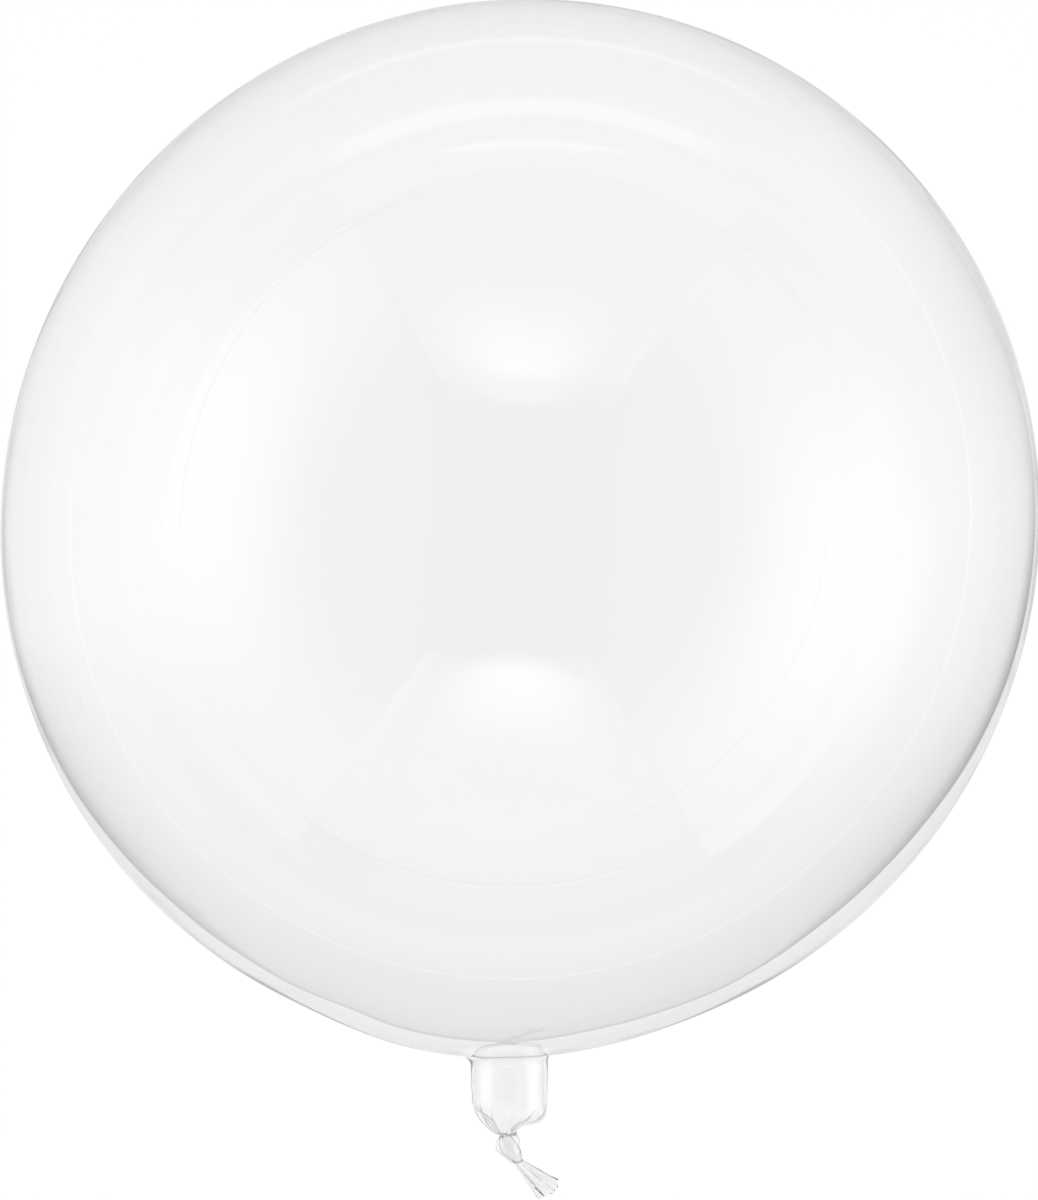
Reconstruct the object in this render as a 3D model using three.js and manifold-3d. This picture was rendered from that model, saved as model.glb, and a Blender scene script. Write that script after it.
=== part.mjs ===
// A clear bubble balloon: one seamless bag of stretched clear film, blown up to a ball 400 mm across.
// The unstretched neck is left as a short tube, which is gathered in pleats, tied in a single overhand
// knot and ends in a crumpled, fan-shaped tail.
//
// Units are millimetres, +Z is up. The balloon lies on its side on a small flat spot, as a loose one
// does. The origin is the centre of that flat spot, the neck points along -Y and the crown along +Y.
// The balloon is sealed full of air, so the whole of it is one solid.
import * as THREE from "three";
import { mergeVertices } from "three/addons/utils/BufferGeometryUtils.js";
import Module from "manifold-3d";

const { clamp, degToRad, lerp, smoothstep } = THREE.MathUtils;

// The ball is a little longer one way than the others, and its long way leans off the neck's axis.
const SHORT_RADIUS = 199.5;
const LONG_RADIUS = 203.6;
const LONG_WAY_LEAN = degToRad(30);
const FLAT_SPOT_RADIUS = 26;

// The flare: the thicker film round the neck stretches less, so the neck pulls the ball out there.
const FLARE_PULL = 3.1;
const FLARE_REACH = 75;

// The neck tube leaves the ball in a small fillet, a little off centre, and its lower end is slanted.
const NECK_RADIUS = 15;
const NECK_OFFSET = -4.2;
const ROOT_FILLET = 5;
const NECK_END = 225.5;
const NECK_SLANT = 0.13;

// The gather: the end of the tube drawn in by pleats to the tie. The pleats are full at this share of
// its depth.
const TIE = new THREE.Vector2(-5.9, -237.1);
const TIE_RADIUS = 2.2;
const GATHER_ROUNDNESS = 0.55;
const PLEATS = 9;
const PLEAT_DEPTH = 0.24;
const PLEATS_FULL = 0.6;

// The knot: one turn of rolled film drawn tight round the stalk, stretched along the stalk.
const KNOT = new THREE.Vector2(-4.7, -241.3);
const TURN_RADIUS = 2.6;
const ROLL_RADIUS = 1.75;
const ROLL_STRETCH = 1.6;
const TURN_TILT = degToRad(24);

// The stalk runs on from the tie, through the knot and a narrow throat, and opens into the flat,
// pleated tail, which has its full thinness at a share of its length.
const THROAT = new THREE.Vector2(-1.1, -247.1);
const TAIL_END = new THREE.Vector2(11.7, -258.9);
const TIE_WIDTH = 4.4;
const KNOT_WIDTH = 7;
const THROAT_WIDTH = 3.2;
const TAIL_WIDTH = 11;
const TAIL_THICKNESS = 1.2;
const TAIL_THIN = 0.8;
const TAIL_FOLDS = 5;
const FOLD_DEPTH = 0.75;
const TAIL_BULGE = 2.6;
const TAIL_ROLL = degToRad(16);

// How finely the forms are divided. The ball's rings crowd towards the neck.
const AROUND = 64;
const BALL_RINGS = 36;
const RING_CROWDING = 1.15;
const FILLET_RINGS = 3;
const NECK_RINGS = 3;
const GATHER_RINGS = 8;
const ROLL_SIDES = 12;
const TURN_SIDES = 28;
const STALK_SIDES = 40;
const STALK_RINGS = 22;

const BALL_HEIGHT = Math.sqrt(SHORT_RADIUS ** 2 - FLAT_SPOT_RADIUS ** 2);
const ROOT_RADIUS = NECK_RADIUS + ROOT_FILLET;
const ROOT_ANGLE = Math.asin(ROOT_RADIUS / SHORT_RADIUS);
const LONG_WAY = new THREE.Vector3(Math.sin(LONG_WAY_LEAN), Math.cos(LONG_WAY_LEAN), 0);

const wasm = await Module();
wasm.setup();

// A closed geometry as a solid that can be joined and cut.
function solidOf(geometry) {
  const bare = geometry.clone();
  bare.deleteAttribute("normal");
  bare.deleteAttribute("uv");
  const merged = mergeVertices(bare, 1e-4);
  return new wasm.Manifold(
    new wasm.Mesh({
      numProp: 3,
      vertProperties: new Float32Array(merged.attributes.position.array),
      triVerts: new Uint32Array(merged.index.array),
    }),
  );
}

// A solid as a geometry again.
function geometryOf(solid) {
  const mesh = solid.getMesh();
  const geometry = new THREE.BufferGeometry();
  geometry.setAttribute("position", new THREE.BufferAttribute(new Float32Array(mesh.vertProperties), 3));
  geometry.setIndex(new THREE.BufferAttribute(new Uint32Array(mesh.triVerts), 1));
  geometry.computeVertexNormals();
  return geometry;
}

// Moves every vertex of a geometry by a function that changes the vertex it is given.
function reshape(geometry, change) {
  const position = geometry.attributes.position;
  const vertex = new THREE.Vector3();
  for (let i = 0; i < position.count; i++) {
    vertex.fromBufferAttribute(position, i);
    change(vertex);
    position.setXYZ(i, vertex.x, vertex.y, vertex.z);
  }
  return geometry;
}

// The height on the round ball at an angle from the neck's axis.
function ballHeight(angle) {
  return -SHORT_RADIUS * Math.cos(angle);
}

// Stretches the ball along its long way and pulls it out round the neck.
function shapeBall(vertex) {
  const outward = Math.hypot(vertex.x, vertex.z) - ROOT_RADIUS;
  const fromRoot = Math.hypot(outward, vertex.y - ballHeight(ROOT_ANGLE));
  const pulled = smoothstep(1 - fromRoot / FLARE_REACH, 0, 1);
  vertex.addScaledVector(LONG_WAY, (LONG_RADIUS / SHORT_RADIUS - 1) * vertex.dot(LONG_WAY));
  vertex.x += NECK_OFFSET * pulled;
  vertex.y -= FLARE_PULL * pulled;
  return vertex;
}

// Slants the end of the tube and draws the gather in to the tie, in pleats.
function shapeNeck(vertex) {
  const depth = clamp((-vertex.y - NECK_END) / (-TIE.y - NECK_END), 0, 1);
  const pleat = 0.5 - 0.5 * Math.cos(PLEATS * Math.atan2(vertex.z, vertex.x));
  const narrowed = lerp(TIE_RADIUS / NECK_RADIUS, 1, (1 - depth) ** GATHER_ROUNDNESS);
  const drawnIn = narrowed * (1 - PLEAT_DEPTH * pleat * smoothstep(depth, 0, PLEATS_FULL));
  vertex.y -= vertex.x * NECK_SLANT * smoothstep(-vertex.y, LONG_RADIUS, NECK_END) * (1 - depth);
  vertex.x = vertex.x * drawnIn + lerp(NECK_OFFSET, TIE.x, depth);
  vertex.z *= drawnIn;
  return vertex;
}

// The lathe profile, from the tie up the gather and the neck and over the ball to the crown. The ball
// is still round here and the gather a plain cylinder: shapeBall and shapeNeck give them their form.
function profile() {
  const points = [new THREE.Vector2(0, TIE.y)];
  for (let i = 0; i < GATHER_RINGS; i++) {
    points.push(new THREE.Vector2(NECK_RADIUS, lerp(TIE.y, -NECK_END, i / GATHER_RINGS)));
  }
  const root = shapeBall(new THREE.Vector3(0, ballHeight(ROOT_ANGLE), 0));
  const tubeTop = root.y - ROOT_FILLET;
  for (let i = 0; i < NECK_RINGS; i++) {
    points.push(new THREE.Vector2(NECK_RADIUS, lerp(-NECK_END, tubeTop, i / NECK_RINGS)));
  }
  for (let i = 0; i < FILLET_RINGS; i++) {
    const turned = (i / FILLET_RINGS) * (Math.PI / 2);
    const radius = ROOT_RADIUS - ROOT_FILLET * Math.cos(turned);
    points.push(new THREE.Vector2(radius, tubeTop + ROOT_FILLET * Math.sin(turned)));
  }
  for (let i = 0; i < BALL_RINGS; i++) {
    const angle = lerp(ROOT_ANGLE, Math.PI, (i / BALL_RINGS) ** RING_CROWDING);
    points.push(new THREE.Vector2(SHORT_RADIUS * Math.sin(angle), ballHeight(angle)));
  }
  points.push(new THREE.Vector2(0, SHORT_RADIUS));
  return points;
}

// The bag of film: ball, flare, neck and gather, with the ball's centre at the origin.
function bag() {
  const lathe = new THREE.LatheGeometry(profile(), AROUND);
  return reshape(lathe, (vertex) => (vertex.y < -SHORT_RADIUS ? shapeNeck(vertex) : shapeBall(vertex)));
}

// The turn of the knot, with its axis along the stalk.
function turn() {
  return new THREE.TorusGeometry(TURN_RADIUS, ROLL_RADIUS, ROLL_SIDES, TURN_SIDES)
    .scale(1, 1, ROLL_STRETCH)
    .rotateX(Math.PI / 2)
    .rotateZ(TURN_TILT)
    .translate(KNOT.x, KNOT.y, 0);
}

// The stalk and the tail, as one rod of film that flattens and opens into pleats towards its end.
function stalk() {
  const way = new THREE.SplineCurve([TIE, KNOT, THROAT, TAIL_END]);
  const knotShare = TIE.distanceTo(KNOT) / way.getLength();
  const throatShare = knotShare + KNOT.distanceTo(THROAT) / way.getLength();
  const rod = new THREE.CylinderGeometry(1, 1, 1, STALK_SIDES, STALK_RINGS);
  return reshape(rod, (vertex) => {
    const share = 0.5 - vertex.y;
    const middle = way.getPointAt(share);
    const along = way.getTangentAt(share);
    const opened = clamp((share - throatShare) / (1 - throatShare), 0, 1);
    const knotWidth = lerp(TIE_WIDTH, KNOT_WIDTH, smoothstep(share, 0, knotShare));
    const throatWidth = lerp(knotWidth, THROAT_WIDTH, smoothstep(share, knotShare, throatShare));
    const across = (vertex.x / 2) * lerp(throatWidth, TAIL_WIDTH, opened);
    const thickness = lerp(THROAT_WIDTH, TAIL_THICKNESS, smoothstep(opened, 0, TAIL_THIN));
    const fold = opened * FOLD_DEPTH * Math.sin(vertex.x * Math.PI * TAIL_FOLDS);
    const bulge = opened * TAIL_BULGE * (1 - vertex.x ** 2);
    vertex.z = (vertex.z * thickness) / 2 + fold + opened * across * Math.sin(TAIL_ROLL);
    vertex.x = middle.x - along.y * across + along.x * bulge;
    vertex.y = middle.y + along.x * across + along.y * bulge;
  });
}

// Everything below the floor, which cuts the flat spot.
function belowFloor() {
  const size = SHORT_RADIUS * 3;
  return new THREE.BoxGeometry(size, size, size).translate(0, 0, -size / 2);
}

const clearFilm = new THREE.MeshStandardMaterial({
  color: 0xf2f5f6,
  roughness: 0.05,
  metalness: 0,
  transparent: true,
  opacity: 0.3,
});

const filmSolid = solidOf(bag()).add(solidOf(turn())).add(solidOf(stalk()));
const lyingSolid = filmSolid.translate([0, 0, BALL_HEIGHT]).subtract(solidOf(belowFloor()));
const balloonMesh = new THREE.Mesh(geometryOf(lyingSolid), clearFilm);
balloonMesh.name = "bubble_balloon";

const balloon = new THREE.Group();
balloon.add(balloonMesh);

export default balloon;
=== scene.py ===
"""The looks of the clear bubble balloon: one bag of clear film, blown up to a ball, gathered and knotted."""

import math
import random

import bmesh
import bpy
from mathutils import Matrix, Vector


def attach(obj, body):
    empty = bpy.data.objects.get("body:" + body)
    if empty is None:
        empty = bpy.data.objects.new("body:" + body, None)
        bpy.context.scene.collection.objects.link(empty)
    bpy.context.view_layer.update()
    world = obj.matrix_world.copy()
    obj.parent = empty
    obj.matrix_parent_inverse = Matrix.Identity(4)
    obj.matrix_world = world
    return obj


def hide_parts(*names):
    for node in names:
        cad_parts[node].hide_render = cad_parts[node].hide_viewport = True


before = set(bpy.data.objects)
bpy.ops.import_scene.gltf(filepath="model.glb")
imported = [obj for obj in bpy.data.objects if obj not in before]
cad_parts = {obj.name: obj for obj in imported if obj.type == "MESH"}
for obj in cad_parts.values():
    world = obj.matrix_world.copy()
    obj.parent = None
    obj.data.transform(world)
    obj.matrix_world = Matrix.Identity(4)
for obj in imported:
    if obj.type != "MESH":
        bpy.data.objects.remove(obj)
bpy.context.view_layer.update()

# ---------------------------------------------------------------- the balloon's sizes, in metres
# The ball is a little longer one way, which leans off the neck's axis, and lies on a small flat spot.
SHORT_RADIUS = 0.1995
LONG_RADIUS = 0.2036
LONG_WAY_LEAN = math.radians(30)
FLAT_SPOT_RADIUS = 0.026

# The neck pulls the ball out to a flare and leaves it in a fillet. The end of the tube is slanted.
FLARE_PULL = 0.0031
FLARE_REACH = 0.075
NECK_RADIUS = 0.015
NECK_OFFSET = -0.0042
ROOT_FILLET = 0.005
NECK_END = -0.2255
NECK_SLANT = math.atan(0.13)

# The gather is drawn in to the tie by uneven pleats, each this share of the radius deep. Its right side,
# towards +X, is pressed flat and droops, from this height down.
TIE = Vector((-0.0059, -0.2371))
TIE_RADIUS = 0.0022
GATHER_ROUNDNESS = 0.62
GATHER_FULLNESS = 1.25
PLEAT_DEPTHS = (0.32, 0.12, 0.05, 0.46, 0.14, 0.12, 0.08, 0.12, 0.20)
PLEAT_LEAN = math.radians(10)
LEFT_PLEAT_LEAN = math.radians(34)
VALLEY_SHARPNESS = 1.3
RIGHT_SIDE_PRESS = 0.46
RIGHT_SIDE_DROOP = 0.0016
DROOP_START = NECK_END + 0.0065

# The stalk runs from the tie through the knot and the throat to the end of the tail.
KNOT = Vector((-0.0047, -0.2413))
THROAT = Vector((-0.0011, -0.2471))
TAIL_END = Vector((0.0117, -0.2589))
STALK_SWELL = 0.0030
THROAT_WIDTH = 0.0032

# The flattened tail has its full thinness at a share of its length. Each row of folds is the number of
# waves across the tail and their height.
TAIL_WIDTH = 0.011
TAIL_THICKNESS = 0.0012
TAIL_THIN = 0.8
TAIL_ROLL = math.radians(16)
TAIL_BULGE = 0.0026
TAIL_LIFT = 0.0015
TAIL_FOLDS = ((1.3, 0.0007), (2.6, 0.0005), (4.7, 0.0003), (7.3, 0.0001))
FINE_FOLD = 0.0002
END_THICKNESS_SHARE = 0.12

# The turn of film at the knot, round the stalk.
KNOT_TOP = Vector((-0.0048, -0.2374))
KNOT_FOOT = Vector((-0.0011, -0.2476))
KNOT_SWELL = 0.0047
KNOT_FLATNESS = 0.82
KNOT_CREASE = 0.05
KNOT_SLANT = 0.125

# The film's thickness: in the stretched ball, in the unstretched neck and in the turn of the knot.
FILM_THICKNESS = 0.0002
NECK_THICKNESS = 0.0005
KNOT_THICKNESS = 0.0003

BALL_HEIGHT = math.sqrt(SHORT_RADIUS**2 - FLAT_SPOT_RADIUS**2)
BALL_CENTRE = Vector((0, 0, BALL_HEIGHT))
ROOT_RADIUS = NECK_RADIUS + ROOT_FILLET
REACH_KNOT = (KNOT - TIE).length
REACH_THROAT = REACH_KNOT + (THROAT - KNOT).length
REACH_END = REACH_THROAT + (TAIL_END - THROAT).length

# ---------------------------------------------------------------- how finely it is modelled
AROUND = 180
BALL_RINGS = 125
ROOT_RING = 4
FILLET_RINGS = 14
TUBE_RINGS = 8
GATHER_RINGS = 34
GATHER_CROWDING = 1.5
STALK_RINGS = 16
TAIL_RINGS = 20
# Each bend of the stalk takes this many steps over this length.
BEND_STEPS = 5
BEND_SPREAD = 0.003
KNOT_AROUND = 120
KNOT_RINGS = 44
SHARPEST_SMOOTH = math.radians(60)

# ---------------------------------------------------------------- the studio
PALE = 0.95
# The camera is this far above the ball's centre, where what it sees is this high.
CAMERA_DISTANCE = 1.5
CAMERA_PLACE = Vector((-0.0005, -0.0289))
FRAME_HEIGHT = 0.46692
SENSOR_MM = 36


def only(piece):
    """Leaves one piece selected and active."""
    bpy.ops.object.select_all(action="DESELECT")
    piece.select_set(True)
    bpy.context.view_layer.objects.active = piece


def work_on(piece):
    """Opens one piece in edit mode, by vertices, with nothing selected."""
    only(piece)
    bpy.ops.object.mode_set(mode="EDIT")
    bpy.ops.mesh.select_mode(type="VERT")
    bpy.ops.mesh.select_all(action="DESELECT")


def done():
    bpy.ops.object.mode_set(mode="OBJECT")


def choose(piece, wanted):
    """In edit mode, selects the vertices that are wanted."""
    mesh = bmesh.from_edit_mesh(piece.data)
    for vertex in mesh.verts:
        vertex.select = bool(wanted(vertex))
    mesh.select_flush_mode()
    bmesh.update_edit_mesh(piece.data)


def turn(angle, centre):
    """Turns the selection anticlockwise, seen from above. With no window the operator turns the other way."""
    bpy.ops.transform.rotate(value=-angle, orient_axis="Z", center_override=centre)


def sculpt(piece, move):
    """Moves each vertex of a finished mesh, as a sculpting tool would."""
    for vertex in piece.data.vertices:
        moved = move(vertex.co.copy())
        if moved is not None:
            vertex.co = moved
    piece.data.update()


def between(first, last, share):
    """The value that lies a share of the way from first to last."""
    return first + (last - first) * share


def share_of(value, start, end):
    """0 at the start and before, 1 at the end and beyond, and a straight rise between."""
    return min(max((value - start) / (end - start), 0), 1)


def smooth_step(value, start, end):
    """0 at the start and before, 1 at the end and beyond, and a soft rise between."""
    share = share_of(value, start, end)
    return share * share * (3 - 2 * share)


# ---------------------------------------------------------------- the bag of film
def blown_ball():
    """The ball with an open root ring where the neck leaves it."""
    bpy.ops.object.select_all(action="DESELECT")
    bpy.ops.mesh.primitive_uv_sphere_add(
        segments=AROUND,
        ring_count=BALL_RINGS,
        radius=SHORT_RADIUS,
        location=BALL_CENTRE,
        rotation=(math.pi / 2, 0, 0),
    )
    ball = bpy.context.object
    ball.name = "bubble_film"
    bpy.ops.object.transform_apply(location=True, rotation=True, scale=True)
    work_on(ball)
    ring_angle = math.pi / BALL_RINGS
    cap_edge = -SHORT_RADIUS * math.cos((ROOT_RING - 0.5) * ring_angle)
    choose(ball, lambda vertex: vertex.co.y < cap_edge)
    bpy.ops.mesh.delete(type="VERT")

    bpy.ops.mesh.select_all(action="SELECT")
    turn(LONG_WAY_LEAN, BALL_CENTRE)
    bpy.ops.transform.resize(value=(1, LONG_RADIUS / SHORT_RADIUS, 1), center_override=BALL_CENTRE)
    turn(-LONG_WAY_LEAN, BALL_CENTRE)

    bpy.ops.mesh.select_all(action="DESELECT")
    bpy.ops.mesh.select_non_manifold()
    bpy.ops.transform.translate(
        value=(NECK_OFFSET, -FLARE_PULL, 0),
        use_proportional_edit=True,
        proportional_edit_falloff="SMOOTH",
        proportional_size=FLARE_REACH,
    )
    choose(ball, lambda vertex: vertex.co.z < 0)
    bpy.ops.transform.resize(value=(1, 1, 0), center_override=(0, 0, 0))
    done()
    return ball


class OpenEnd:
    """The open end of the film, which is drawn on ring by ring."""

    def __init__(self, piece):
        work_on(piece)
        bpy.ops.mesh.select_non_manifold()
        mesh = bmesh.from_edit_mesh(piece.data)
        ring = [vertex.co for vertex in mesh.verts if vertex.select]
        self.centre = sum(ring, Vector()) / len(ring)
        self.width = max(place.x for place in ring) - min(place.x for place in ring)
        self.thickness = max(place.z for place in ring) - min(place.z for place in ring)

    def draw(self, x, y, width, thickness=None, slant=0):
        thickness = width if thickness is None else thickness
        target = Vector((x, y, BALL_HEIGHT))
        bpy.ops.mesh.extrude_region_move(TRANSFORM_OT_translate={"value": target - self.centre})
        bpy.ops.transform.resize(
            value=(width / self.width, 1, thickness / self.thickness), center_override=target
        )
        if slant:
            turn(-slant, target)
        self.centre, self.width, self.thickness = target, width, thickness


def draw_fillet(end):
    """The fillet, which leaves the ball on its slope and ends along the tube."""
    root_x = end.centre.x
    tube_top = end.centre.y - ROOT_FILLET
    slope = math.pi / 2 - math.asin(ROOT_RADIUS / SHORT_RADIUS)
    for ring in range(1, FILLET_RINGS + 1):
        left = 1 - ring / FILLET_RINGS
        turned = left * slope
        inward = (math.cos(turned) - math.cos(slope)) / (1 - math.cos(slope))
        y = tube_top + ROOT_FILLET * math.sin(turned) / math.sin(slope)
        end.draw(between(NECK_OFFSET, root_x, left), y, 2 * (ROOT_RADIUS - ROOT_FILLET * inward))


def draw_tube(end):
    """The tube, which turns to its slanted end a little at each ring."""
    tube_top = end.centre.y
    for ring in range(1, TUBE_RINGS + 1):
        y = between(tube_top, NECK_END, ring / TUBE_RINGS)
        end.draw(NECK_OFFSET, y, 2 * NECK_RADIUS, slant=NECK_SLANT / TUBE_RINGS)


def draw_gather(end):
    """The end of the tube drawn in to the tie, where it has turned level again."""
    for ring in range(1, GATHER_RINGS + 1):
        depth = 1 - (1 - ring / GATHER_RINGS) ** GATHER_CROWDING
        kept = (1 - depth**GATHER_FULLNESS) ** GATHER_ROUNDNESS
        radius = between(TIE_RADIUS, NECK_RADIUS, kept)
        x = between(NECK_OFFSET, TIE.x, depth)
        y = between(NECK_END, TIE.y, depth)
        end.draw(x, y, 2 * radius, slant=-NECK_SLANT / GATHER_RINGS)


def draw_stalk(end):
    """The stalk down to the throat, with a swell inside the knot."""
    for ring in range(1, STALK_RINGS + 1):
        share = ring / STALK_RINGS
        swell = STALK_SWELL * math.sin(math.pi * share)
        width = between(2 * TIE_RADIUS, THROAT_WIDTH, share) + swell
        end.draw(TIE.x, TIE.y - REACH_THROAT * share, width)


def draw_tail(end):
    """The tail, which flattens and opens out below the throat."""
    for ring in range(1, TAIL_RINGS + 1):
        share = ring / TAIL_RINGS
        reach = between(REACH_THROAT, REACH_END, share)
        width = between(THROAT_WIDTH, TAIL_WIDTH, share)
        thickness = between(THROAT_WIDTH, TAIL_THICKNESS, smooth_step(share, 0, TAIL_THIN))
        end.draw(TIE.x, TIE.y - reach, width, thickness)


def draw_neck(ball):
    """All that leaves the ball at its root ring, with the stalk and the tail straight for now."""
    end = OpenEnd(ball)
    draw_fillet(end)
    draw_tube(end)
    draw_gather(end)
    draw_stalk(end)
    draw_tail(end)
    done()


def pleat_the_gather(ball):
    """Draws the film in between the pleats, deeper towards the tie, and presses the right side flat."""
    pleats = len(PLEAT_DEPTHS)
    lowest = TIE.y - 0.006
    pleats_gone = TIE.y - 0.0025

    def move(place):
        if place.y > DROOP_START or place.y < lowest:
            return None
        depth = share_of(place.y, NECK_END, TIE.y)
        centre_x = between(NECK_OFFSET, TIE.x, depth)
        across = place.x - centre_x
        up = place.z - BALL_HEIGHT
        around = math.atan2(up, across)
        rightward = math.cos(around)
        lean = PLEAT_LEAN * (1 + rightward) + LEFT_PLEAT_LEAN * (1 - depth) * min(rightward, 0)
        pleat = ((around + lean) / (2 * math.pi) % 1) * pleats
        valley = (0.5 - 0.5 * math.cos(2 * math.pi * pleat)) ** VALLEY_SHARPNESS
        fullness = smooth_step(depth, -0.08, 0.55) * smooth_step(place.y, pleats_gone, TIE.y)
        kept = 1 - PLEAT_DEPTHS[int(pleat) % pleats] * valley * fullness
        right_side = smooth_step(rightward, -0.1, 0.8)
        pressed = smooth_step(depth, 0.34, 0.84) * smooth_step(depth, 1.02, 0.86)
        kept *= 1 - RIGHT_SIDE_PRESS * right_side * pressed
        drooping = smooth_step(place.y, DROOP_START, NECK_END) * smooth_step(depth, 0.8, 0.3)
        droop = RIGHT_SIDE_DROOP * right_side * drooping
        return Vector((centre_x + across * kept, place.y - droop, BALL_HEIGHT + up * kept))

    sculpt(ball, move)


def fold_the_tail(ball):
    """Lays the flattened end of the film in long, crumpled folds that open from the throat."""
    chance = random.Random(11)
    folds = [
        (count, size, chance.uniform(0, 2 * math.pi), chance.uniform(-2.5, 2.5))
        for count, size in TAIL_FOLDS
    ]
    start = TIE.y - REACH_THROAT
    end = TIE.y - REACH_END
    highest = start + 0.002
    half_gap = 0.0004

    def move(place):
        if place.y > highest:
            return None
        share = share_of(place.y, start, end)
        opened = smooth_step(share, -0.25, 0.7)
        apart = smooth_step(share, 1, 0.6)
        off_middle = place.x - TIE.x
        across = off_middle / (between(THROAT_WIDTH, TAIL_WIDTH, share) / 2)
        layer = smooth_step(place.z - BALL_HEIGHT, -half_gap, half_gap) * apart
        rise = off_middle * math.sin(TAIL_ROLL)
        for count, size, phase, lean in folds:
            rise += size * math.sin(math.pi * count * across + phase + lean * share + 1.9 * layer)
        rise += FINE_FOLD * math.sin(2300 * place.x + 1900 * place.y + 2 * layer)
        ragged = 0.0004 * math.sin(5 * across + 2 * layer) + 0.0003 * math.sin(13 * across + 1)
        longer = opened * (TAIL_BULGE * (1 - across * across) + ragged) - TAIL_LIFT * share
        height = (place.z - BALL_HEIGHT) * between(END_THICKNESS_SHARE, 1, apart)
        return Vector((place.x, place.y - longer, BALL_HEIGHT + height + opened * rise))

    sculpt(ball, move)


def bend_the_stalk(ball):
    """Bends all that hangs below the tie, at the tie, the knot and the throat, each in a few small steps."""
    first = math.atan2(KNOT.x - TIE.x, TIE.y - KNOT.y)
    second = math.atan2(THROAT.x - KNOT.x, KNOT.y - THROAT.y)
    third = math.atan2(TAIL_END.x - THROAT.x, THROAT.y - TAIL_END.y)
    bends = [(0, first), (REACH_KNOT, second - first), (REACH_THROAT, third - second)]
    along = {vertex.index: TIE.y - vertex.co.y for vertex in ball.data.vertices}
    work_on(ball)
    heading = 0
    joint = Vector((TIE.x, TIE.y, BALL_HEIGHT))
    reached = 0
    for reach, angle in bends:
        for step in range(BEND_STEPS):
            place = reach + BEND_SPREAD * ((step + 0.5) / BEND_STEPS - 0.5)
            joint = joint + Vector((math.sin(heading), -math.cos(heading), 0)) * (place - reached)
            reached = place
            choose(ball, lambda vertex, place=place: along[vertex.index] > place)
            turn(angle / BEND_STEPS, joint)
            heading += angle / BEND_STEPS
    done()


def film_wall(piece, thickness):
    """A wall of this thickness inward from the surface, still to be applied."""
    only(piece)
    wall = piece.modifiers.new("film thickness", "SOLIDIFY")
    wall.thickness = thickness
    wall.offset = -1
    return wall


def thicken(ball):
    """Gives the film its thickness: thin where it is stretched, thicker in the neck down to the gather."""
    ball_radius, tube_radius = 0.0175, 0.0152
    thin_above, thick_from = -0.2045, -0.2135
    thick_to, thin_below = -0.225, -0.233
    unstretched = ball.vertex_groups.new(name="unstretched film")
    for vertex in ball.data.vertices:
        off_axis = math.hypot(vertex.co.x - NECK_OFFSET, vertex.co.z - BALL_HEIGHT)
        share = smooth_step(off_axis, ball_radius, tube_radius)
        share *= smooth_step(vertex.co.y, thin_above, thick_from)
        share *= smooth_step(vertex.co.y, thin_below, thick_to)
        unstretched.add([vertex.index], share, "REPLACE")
    wall = film_wall(ball, NECK_THICKNESS)
    wall.vertex_group = unstretched.name
    wall.thickness_vertex_group = FILM_THICKNESS / NECK_THICKNESS
    bpy.ops.object.modifier_apply(modifier=wall.name)


def knot_middle(share):
    """How far across the middle of the knot's turn is, at a share of the way down it."""
    return between(KNOT_TOP.x, KNOT_FOOT.x, smooth_step(share, 0.4, 1.1))


def draw_the_turn():
    """The turn of the knot as a drop, blunt at the tie and narrow at the throat."""
    bpy.ops.object.select_all(action="DESELECT")
    bpy.ops.mesh.primitive_circle_add(
        vertices=KNOT_AROUND,
        radius=TIE_RADIUS,
        location=(KNOT_TOP.x, KNOT_TOP.y, BALL_HEIGHT),
        rotation=(math.pi / 2, 0, 0),
    )
    knot = bpy.context.object
    knot.name = "knot_turn"
    bpy.ops.object.transform_apply(location=True, rotation=True, scale=True)
    end = OpenEnd(knot)
    for ring in range(1, KNOT_RINGS + 1):
        share = ring / KNOT_RINGS
        full = max(math.sin(math.pi * share**0.7), 0) ** 0.55
        width = between(2 * TIE_RADIUS, THROAT_WIDTH, share) + KNOT_SWELL * full
        y = between(KNOT_TOP.y, KNOT_FOOT.y, share)
        end.draw(knot_middle(share), y, width, KNOT_FLATNESS * width)
    done()
    return knot


def crease_the_turn(knot):
    """Creases the turn lengthways with a twist, and slants it."""

    def move(place):
        share = (place.y - KNOT_TOP.y) / (KNOT_FOOT.y - KNOT_TOP.y)
        centre_x = knot_middle(share)
        across = place.x - centre_x
        up = place.z - BALL_HEIGHT
        around = math.atan2(up, across)
        fold = 0.6 * math.cos(3 * around - 7 * share) + 0.4 * math.cos(7 * around + 9 * share + 1)
        inside_ends = smooth_step(share, 0, 0.2) * smooth_step(share, 1, 0.8)
        kept = 1 + KNOT_CREASE * fold * inside_ends
        return Vector((centre_x + across * kept, place.y + KNOT_SLANT * across, BALL_HEIGHT + up * kept))

    sculpt(knot, move)


def tie_the_knot():
    """The turn of film drawn tight round the stalk."""
    knot = draw_the_turn()
    crease_the_turn(knot)
    wall = film_wall(knot, KNOT_THICKNESS)
    bpy.ops.object.modifier_apply(modifier=wall.name)
    return knot


def make_film():
    ball = blown_ball()
    draw_neck(ball)
    pleat_the_gather(ball)
    fold_the_tail(ball)
    bend_the_stalk(ball)
    thicken(ball)
    knot = tie_the_knot()
    only(ball)
    knot.select_set(True)
    bpy.ops.object.join()
    bpy.ops.object.shade_smooth_by_angle(angle=SHARPEST_SMOOTH)
    return ball


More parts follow.
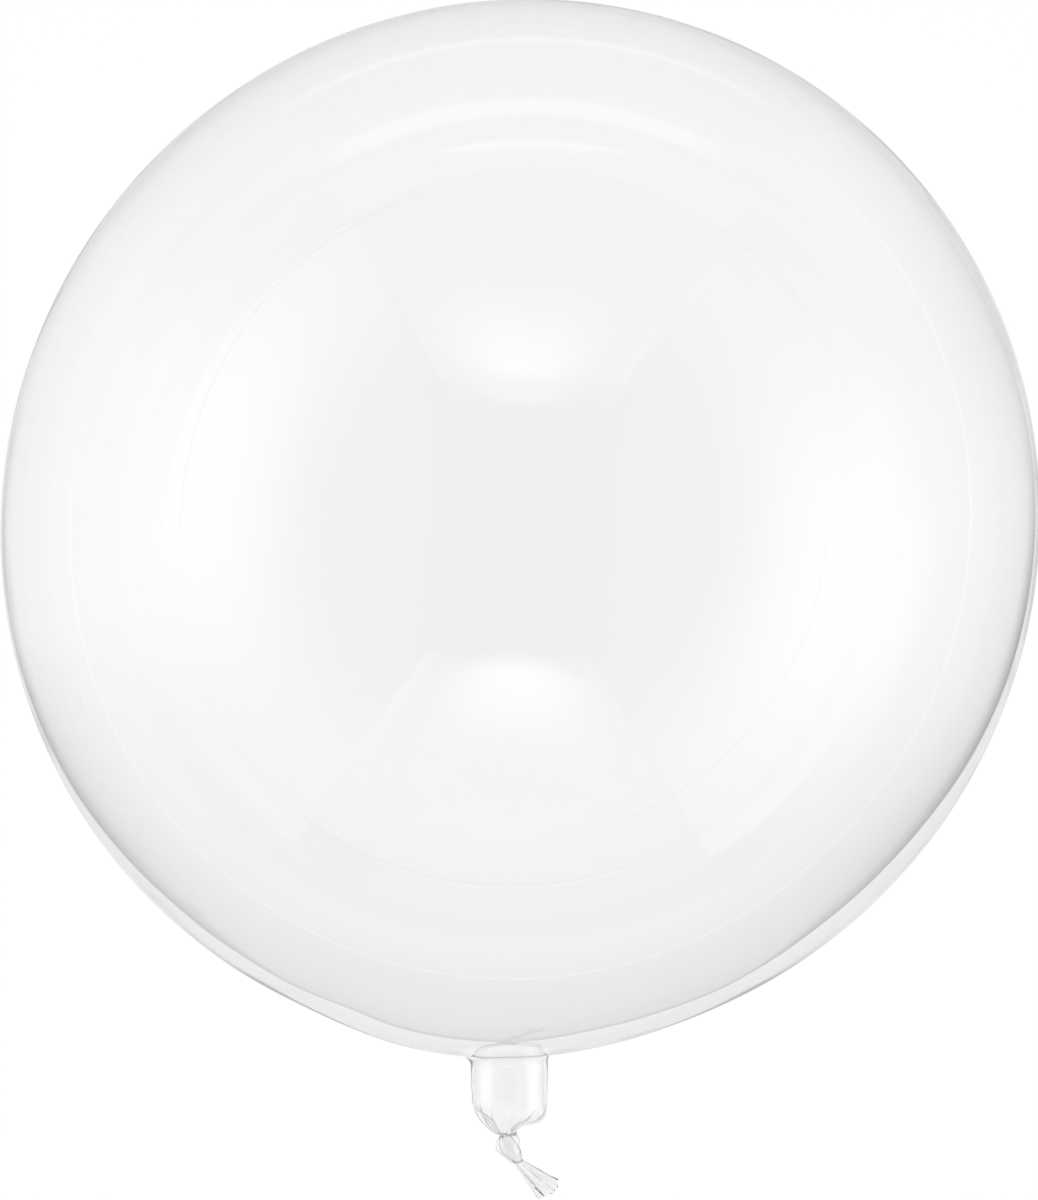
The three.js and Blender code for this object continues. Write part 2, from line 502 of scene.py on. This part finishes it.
# ---------------------------------------------------------------- sums made with nodes
def joined(tree, *values_and_sockets):
    """Sets each socket to its number, or links it to its output."""
    for value, socket in values_and_sockets:
        if isinstance(value, (int, float, tuple)):
            socket.default_value = value
        else:
            tree.links.new(value, socket)


def calc(tree, operation, *values):
    """A Math node, and its result."""
    node = tree.nodes.new("ShaderNodeMath")
    node.operation = operation
    joined(tree, *zip(values, node.inputs))
    return node.outputs[0]


def total(tree, *values):
    result = values[0]
    for value in values[1:]:
        result = calc(tree, "ADD", result, value)
    return result


def product(tree, *values):
    result = values[0]
    for value in values[1:]:
        result = calc(tree, "MULTIPLY", result, value)
    return result


def less(tree, first, second):
    return calc(tree, "SUBTRACT", first, second)


def ratio(tree, first, second):
    return calc(tree, "DIVIDE", first, second)


def absolute(tree, value):
    return calc(tree, "ABSOLUTE", value)


def not_below(tree, value, least):
    return calc(tree, "MAXIMUM", value, least)


def length(tree, x, y):
    return calc(tree, "SQRT", total(tree, product(tree, x, x), product(tree, y, y)))


def fade(tree, value, start, end, low=0.0, high=1.0):
    """A soft step from low to high as value goes from start to end."""
    node = tree.nodes.new("ShaderNodeMapRange")
    node.interpolation_type = "SMOOTHSTEP"
    joined(
        tree,
        (value, node.inputs["Value"]),
        (start, node.inputs["From Min"]),
        (end, node.inputs["From Max"]),
        (low, node.inputs["To Min"]),
        (high, node.inputs["To Max"]),
    )
    return node.outputs["Result"]


def band(tree, value, middle, full, empty):
    """1 where value is close to middle, falling softly to 0."""
    return fade(tree, absolute(tree, less(tree, value, middle)), empty, full)


def turned_axes(tree, vector, degrees):
    """The x, y and z parts of a vector after a turn about the upright axis."""
    turned = tree.nodes.new("ShaderNodeVectorRotate")
    turned.rotation_type = "Z_AXIS"
    turned.inputs["Angle"].default_value = math.radians(degrees)
    tree.links.new(vector, turned.inputs["Vector"])
    parts = tree.nodes.new("ShaderNodeSeparateXYZ")
    tree.links.new(turned.outputs["Vector"], parts.inputs["Vector"])
    return parts.outputs


def noise(tree, place, scale, detail):
    node = tree.nodes.new("ShaderNodeTexNoise")
    joined(
        tree,
        (place, node.inputs["Vector"]),
        (float(scale), node.inputs["Scale"]),
        (float(detail), node.inputs["Detail"]),
    )
    return node.outputs["Fac"]


def mixed(tree, share, first, second):
    """The first shader where share is 0, the second where it is 1."""
    mix = tree.nodes.new("ShaderNodeMixShader")
    joined(
        tree,
        (share, mix.inputs[0]),
        (first.outputs[0], mix.inputs[1]),
        (second.outputs[0], mix.inputs[2]),
    )
    return mix


# ---------------------------------------------------------------- the film's finish
def scuffs(tree, place):
    """A few small round scuffs, each broken up into fine specks."""
    spots_per_metre = 26.0
    specks_per_metre = 900
    spots = tree.nodes.new("ShaderNodeTexVoronoi")
    joined(tree, (place, spots.inputs["Vector"]), (spots_per_metre, spots.inputs["Scale"]))
    chance = tree.nodes.new("ShaderNodeSeparateColor")
    tree.links.new(spots.outputs["Color"], chance.inputs["Color"])
    return product(
        tree,
        fade(tree, spots.outputs["Distance"], 0.16, 0.05),
        calc(tree, "GREATER_THAN", chance.outputs["Red"], 0.72),
        fade(tree, noise(tree, place, specks_per_metre, 0), 0.54, 0.64),
    )


def clear_film():
    """Clear film with slow ripples and a few small scuffs."""
    ripples_per_metre = 22
    scuff_height = 0.15
    material = bpy.data.materials.new("clear film")
    material.use_nodes = True
    tree = material.node_tree
    shader = tree.nodes["Principled BSDF"]
    shader.inputs["Base Color"].default_value = (1, 1, 1, 1)
    shader.inputs["Roughness"].default_value = 0.0
    shader.inputs["IOR"].default_value = 1.5
    shader.inputs["Transmission Weight"].default_value = 1.0
    place = tree.nodes.new("ShaderNodeTexCoord").outputs["Object"]
    ripple = noise(tree, place, ripples_per_metre, 1)
    height = calc(tree, "MULTIPLY_ADD", scuffs(tree, place), scuff_height, ripple)
    bump = tree.nodes.new("ShaderNodeBump")
    bump.inputs["Strength"].default_value = 0.15
    bump.inputs["Distance"].default_value = 0.0006
    tree.links.new(height, bump.inputs["Height"])
    tree.links.new(bump.outputs["Normal"], shader.inputs["Normal"])
    return material


# ---------------------------------------------------------------- the light tent
def light_path(tree, name):
    return tree.nodes.new("ShaderNodeLightPath").outputs[name]


def bounced(tree):
    """1 on light paths that have been reflected, 0 on the others."""
    return calc(tree, "GREATER_THAN", light_path(tree, "Glossy Depth"), 0.5)


class TentWay:
    """Where a direction points in the tent, which stands turned a little about the upright axis."""

    def __init__(self, tree):
        direction = tree.nodes.new("ShaderNodeTexCoord").outputs["Generated"]
        self.x, self.y, z = turned_axes(tree, direction, 2.5)
        self.off_axis = calc(tree, "ARCCOSINE", z)
        level = calc(tree, "SQRT", less(tree, 1.0, product(tree, z, z)))
        level = not_below(tree, level, 0.001)
        self.sideways = ratio(tree, absolute(tree, self.x), level)
        _, lamp_y, _ = turned_axes(tree, direction, 10)
        self.off_lamp = ratio(tree, absolute(tree, lamp_y), level)


def tent_walls(tree, way):
    """Two bright side walls and two dimmer end walls, of which the one at the crown's end is brighter."""
    side_wall = fade(tree, way.sideways, 0.535, 0.555)
    end_wall = less(tree, 1.0, side_wall)
    side_rise = fade(tree, way.off_axis, math.radians(41), math.radians(72))
    side_light = product(tree, side_rise, fade(tree, way.off_lamp, 0.9, 0.12, 0.35, 1.0))
    side_glow = calc(tree, "MULTIPLY_ADD", side_light, 0.78, 0.13)
    low_share = fade(tree, way.off_axis, math.radians(45), math.radians(80))
    end_lean = product(tree, low_share, fade(tree, way.y, -0.3, 0.3, -0.21, 0.29))
    end_rise = fade(tree, way.off_axis, math.radians(25), math.radians(50), 0.12, 0.3)
    end_glow = total(tree, end_rise, end_lean)
    return total(tree, product(tree, side_wall, side_glow), product(tree, end_wall, end_glow))


def tent_lamps(tree, way):
    """A lamp with a bowed edge at each end of the opening."""
    lamp_x = total(tree, way.x, fade(tree, way.y, -0.1, 0.1, -0.025, 0.03))
    across = fade(tree, absolute(tree, lamp_x), 0.36, 0.03)
    bowed_y = less(tree, absolute(tree, way.y), product(tree, way.x, way.x, 0.6))
    return product(tree, across, fade(tree, bowed_y, 0.465, 0.525), fade(tree, bowed_y, 0.82, 0.55), 0.66)


def tent_seams(tree, way):
    """The four seams between the walls, bright on one diagonal and dark on the other, and the low hems."""
    seam = band(tree, way.sideways, 0.545, 0.006, 0.02)
    reach = fade(tree, way.off_axis, math.radians(75), math.radians(40))
    seam_side = fade(tree, product(tree, way.x, way.y), -0.02, 0.02, -0.12, 0.22)
    hem = band(tree, way.off_axis, math.radians(77), 0.002, 0.010)
    hem_end = fade(tree, way.y, -0.35, 0.2)
    hem_side = fade(tree, way.x, -0.55, -0.05, -0.33, 0.1)
    return total(tree, product(tree, seam, reach, seam_side), product(tree, hem, hem_end, hem_side))


def tent_rims(tree, way):
    """The two long rims of the opening."""
    rim = band(tree, absolute(tree, way.x), 0.375, 0.004, 0.014)
    return product(tree, rim, fade(tree, absolute(tree, way.y), 0.5, 0.47), 0.07)


def tent_opening(tree, way):
    """1 in the opening overhead, 0 on the cloth."""
    across = fade(tree, absolute(tree, way.x), 0.37, 0.35)
    return product(tree, across, fade(tree, absolute(tree, way.y), 0.48, 0.46))


def light_tent():
    """A plain white world. Reflected light paths see a light tent in it, open above, round the balloon."""
    opening_glow = 0.05
    world = bpy.data.worlds.new("studio")
    bpy.context.scene.world = world
    world.use_nodes = True
    tree = world.node_tree
    tree.nodes.clear()
    output = tree.nodes.new("ShaderNodeOutputWorld")
    plain = tree.nodes.new("ShaderNodeBackground")
    plain.inputs["Color"].default_value = (1, 1, 1, 1)
    plain.inputs["Strength"].default_value = PALE
    tent = tree.nodes.new("ShaderNodeBackground")
    tent.inputs["Color"].default_value = (1, 1, 1, 1)

    way = TentWay(tree)
    walls = total(tree, tent_walls(tree, way), tent_rims(tree, way))
    lit = total(tree, walls, tent_lamps(tree, way), tent_seams(tree, way))
    glow = product(tree, lit, less(tree, 1.0, tent_opening(tree, way)))
    tree.links.new(total(tree, glow, opening_glow), tent.inputs["Strength"])
    tree.links.new(mixed(tree, bounced(tree), plain, tent).outputs[0], output.inputs["Surface"])


# ---------------------------------------------------------------- the floor
class FloorSpot:
    """Where a spot of the floor lies from the balloon, and which wall of the film shows it."""

    def __init__(self, tree, place):
        self.x, self.y, _ = turned_axes(tree, place, 0)
        self.distance = not_below(tree, length(tree, self.x, self.y), 0.001)
        self.up = ratio(tree, self.y, self.distance)
        self.right = ratio(tree, self.x, self.distance)
        self.lit_side = ratio(tree, turned_axes(tree, place, -20)[1], self.distance)
        self.off_lamp = ratio(tree, absolute(tree, turned_axes(tree, place, 8)[1]), self.distance)
        self.right_end = ratio(tree, turned_axes(tree, place, 25)[0], self.distance)
        self.front = self.shown_in_front(tree)

    def shown_in_front(self, tree):
        """1 where the film's near wall shows the spot, 0 where the far wall does, through the balloon.

        Below the neck, light that has passed through the tube counts with the near wall."""
        near_wall = calc(tree, "LESS_THAN", light_path(tree, "Transmission Depth"), 3.0)
        past_neck = fade(tree, light_path(tree, "Ray Length"), 0.15, 0.18)
        by_neck = product(
            tree, band(tree, self.x, 0.0, 0.05, 0.09), fade(tree, self.y, -0.2, -0.24), past_neck
        )
        return calc(tree, "MAXIMUM", near_wall, by_neck)


def near_floor(tree, spot):
    """Painted light and shade on the floor round the sheet, seen only in reflections: it darkens to one side
    and is lit along the lamps.
    """
    by_side = fade(tree, spot.lit_side, -1.0, 0.6, 0.40, 0.90)
    lit_far = product(tree, spot.lit_side, fade(tree, spot.distance, 0.5, 1.3))
    base = product(tree, by_side, fade(tree, lit_far, 0.0, 0.7, 1.0, 0.84))
    lit_near = fade(tree, spot.distance, 0.75, 0.36)
    near_glow = product(tree, lit_near, fade(tree, spot.up, -0.6, -0.9), spot.front, 0.25)
    corner_dim = product(tree, fade(tree, spot.right, 0.2, 0.5), fade(tree, spot.up, 0.2, 0.6), 0.22)
    back_dim = total(tree, fade(tree, spot.lit_side, 0.2, 0.8, 0.0, 0.2), corner_dim)
    base = less(tree, base, product(tree, less(tree, 1.0, spot.front), back_dim))
    lamp_glow = fade(tree, spot.off_lamp, 0.6, 0.1, 0.0, 0.26)
    return calc(tree, "MINIMUM", total(tree, base, near_glow, lamp_glow), PALE)


def far_floor(tree, spot):
    """Painted light and shade: how much brighter or darker the floor is far away than near the sheet."""
    far = fade(tree, spot.distance, 1.3, 3.0)
    off_lamp_dim = fade(tree, spot.off_lamp, 0.35, 0.7, 0.0, 0.16)
    darker = total(tree, off_lamp_dim, fade(tree, spot.up, -0.3, -0.7, 0.0, 0.08))
    brighter = product(tree, fade(tree, spot.right_end, 0.84, 0.97), 0.25)
    farthest = fade(tree, spot.distance, 2.0, 6.0)
    lamp_glow = product(tree, farthest, fade(tree, spot.off_lamp, 0.6, 0.1), 0.12)
    return total(tree, product(tree, far, less(tree, brighter, darker)), lamp_glow)


def painted_bars_and_hoop(tree, spot):
    """Painted highlights, seen only in reflections: a wide and a thin bright bar at the crown's end, and a
    thin bright hoop round the sheet.
    """
    crown_end = fade(tree, spot.up, 0.84, 0.93)
    wide = product(tree, fade(tree, spot.distance, 1.7, 2.1), fade(tree, spot.distance, 4.5, 3.2))
    thin = band(tree, spot.distance, 0.58, 0.01, 0.03)
    hoop = band(tree, spot.distance, 0.88, 0.006, 0.018)
    hoop_side = fade(tree, spot.lit_side, 0.7, 0.2)
    return total(
        tree,
        product(tree, wide, crown_end, 0.34),
        product(tree, thin, crown_end, 0.14),
        product(tree, hoop, hoop_side, spot.front, 0.24),
    )


def outside_painted_sheet(tree, spot):
    """How far a spot is outside the edge of the painted lit sheet, which is round-cornered and bows out at
    the neck's end.
    """
    half_width, half_length, corner = 0.285, 0.305, 0.15
    middle_x, middle_y = 0.015, -0.030
    over_x = less(tree, absolute(tree, less(tree, spot.x, middle_x)), half_width - corner)
    over_y = less(tree, absolute(tree, less(tree, spot.y, middle_y)), half_length - corner)
    off_edge = less(tree, length(tree, not_below(tree, over_x, 0.0), not_below(tree, over_y, 0.0)), corner)
    bow = product(tree, band(tree, spot.x, 0.0, 0.03, 0.17), fade(tree, spot.y, -0.2, -0.3), 0.052)
    return less(tree, off_edge, bow)


def painted_dark_edge(tree, spot, outside):
    """The painted dark line round the painted sheet, seen only in reflections, deeper in the half towards the
    neck and narrow at the neck's end.
    """
    neck_side = fade(tree, spot.up, 0.35, -0.3)
    neck_end = fade(tree, spot.up, -0.72, -0.93)
    on_side = product(tree, neck_side, calc(tree, "MULTIPLY_ADD", spot.right, 0.2, 0.52))
    depth = total(tree, on_side, calc(tree, "MULTIPLY_ADD", neck_end, 0.1, 0.12))
    reach = fade(tree, neck_end, 0, 1, 0.09, 0.022)
    return product(tree, depth, fade(tree, outside, reach, -0.015), spot.front)


def painted_sheet_light(tree, spot):
    """The painted lit sheet, seen only in reflections, brighter at its painted rim and with a soft painted
    shade under the neck.
    """
    rim = product(tree, fade(tree, spot.distance, 0.17, 0.26), spot.front)
    glow = calc(tree, "MULTIPLY_ADD", rim, fade(tree, spot.y, -0.3, 0.3, 0.34, 0.2), 0.6)
    # Painted shade under the neck, darkening the painted sheet.
    shade = product(tree, band(tree, spot.x, 0.0, 0.12, 0.18), band(tree, spot.y, -0.222, 0.012, 0.03))
    return product(tree, glow, calc(tree, "MULTIPLY_ADD", shade, -0.32, 1.0))


def painted_floor_reflection(tree, place):
    """Painted reflection, seen only on reflected paths: how bright the floor looks in the film, a painted lit
    sheet with a painted dark edge, on a floor painted as lit unevenly.

    The painted sheet's edge is sharp in the film's near wall and soft in its far wall."""
    spot = FloorSpot(tree, place)
    outside = outside_painted_sheet(tree, spot)
    beyond = total(tree, near_floor(tree, spot), far_floor(tree, spot), painted_bars_and_hoop(tree, spot))
    beyond = product(tree, beyond, less(tree, 1.0, painted_dark_edge(tree, spot, outside)))
    edge_start = calc(tree, "MULTIPLY_ADD", spot.front, -0.116, 0.12)
    edge_end = calc(tree, "MULTIPLY_ADD", spot.front, 0.216, -0.22)
    # The share of the painted lit sheet, which only reflected paths see.
    sheet = fade(tree, outside, edge_start, edge_end)
    on_painted_sheet = product(tree, sheet, painted_sheet_light(tree, spot))
    return total(tree, on_painted_sheet, product(tree, less(tree, 1.0, sheet), beyond))


def make_floor():
    """A plain pale floor. Reflected light paths see a painted reflection on it: painted light and shade of a
    lit sheet with a dark edge.
    """
    floor_size = 120
    below_balloon = 0.0004
    paper_grey = 0.8
    bpy.ops.object.select_all(action="DESELECT")
    bpy.ops.mesh.primitive_plane_add(size=floor_size, location=(0, 0, -below_balloon))
    floor = bpy.context.object
    floor.name = "floor"
    material = bpy.data.materials.new("plain pale floor")
    material.use_nodes = True
    tree = material.node_tree
    tree.nodes.clear()
    output = tree.nodes.new("ShaderNodeOutputMaterial")
    paper = tree.nodes.new("ShaderNodeBsdfDiffuse")
    paper.inputs["Color"].default_value = (paper_grey, paper_grey, paper_grey, 1)
    far_paper = tree.nodes.new("ShaderNodeEmission")
    far_paper.inputs["Strength"].default_value = PALE
    place = tree.nodes.new("ShaderNodeTexCoord").outputs["Object"]
    x, y, _ = turned_axes(tree, place, 0)
    far = fade(tree, length(tree, x, y), 0.6, 2.0)
    plain = mixed(tree, far, paper, far_paper)
    # Painted reflection: emission that only reflected paths see, painting light and shade on the floor.
    painted_reflection_emission = tree.nodes.new("ShaderNodeEmission")
    tree.links.new(painted_floor_reflection(tree, place), painted_reflection_emission.inputs["Strength"])
    tree.links.new(mixed(tree, bounced(tree), plain, painted_reflection_emission).outputs[0], output.inputs["Surface"])
    floor.data.materials.append(material)


# ---------------------------------------------------------------- lamp, camera and render
def overhead_light():
    """A large soft lamp overhead, which lights the floor and doesn't show in the film."""
    bpy.ops.object.light_add(type="AREA", location=(0, -0.1, 2.6))
    lamp = bpy.context.object
    lamp.name = "overhead softbox"
    lamp.data.shape = "SQUARE"
    lamp.data.size = 1.6
    lamp.data.energy = 23.5
    lamp.visible_camera = False
    lamp.visible_glossy = False
    lamp.visible_transmission = False


def make_camera():
    """The camera looks straight down on the lying balloon."""
    data = bpy.data.cameras.new("camera")
    camera = bpy.data.objects.new("camera", data)
    bpy.context.scene.collection.objects.link(camera)
    camera.location = (CAMERA_PLACE.x, CAMERA_PLACE.y, BALL_HEIGHT + CAMERA_DISTANCE)
    data.sensor_width = SENSOR_MM
    data.lens = SENSOR_MM * CAMERA_DISTANCE / FRAME_HEIGHT
    bpy.context.scene.camera = camera


def set_render():
    """Light passes through many walls of film, so it may turn and bounce often."""
    scene = bpy.context.scene
    scene.view_settings.view_transform = "Standard"
    scene.view_settings.look = "None"
    cycles = scene.cycles
    cycles.max_bounces = 14
    cycles.transmission_bounces = 14
    cycles.glossy_bounces = 8
    cycles.caustics_reflective = False
    cycles.caustics_refractive = False
    cycles.use_denoising = True


film = make_film()
film.data.materials.clear()
film.data.materials.append(clear_film())
film.visible_shadow = False
film.visible_diffuse = False
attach(film, "root")
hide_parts("bubble_balloon")

light_tent()
make_floor()
overhead_light()
make_camera()
set_render()
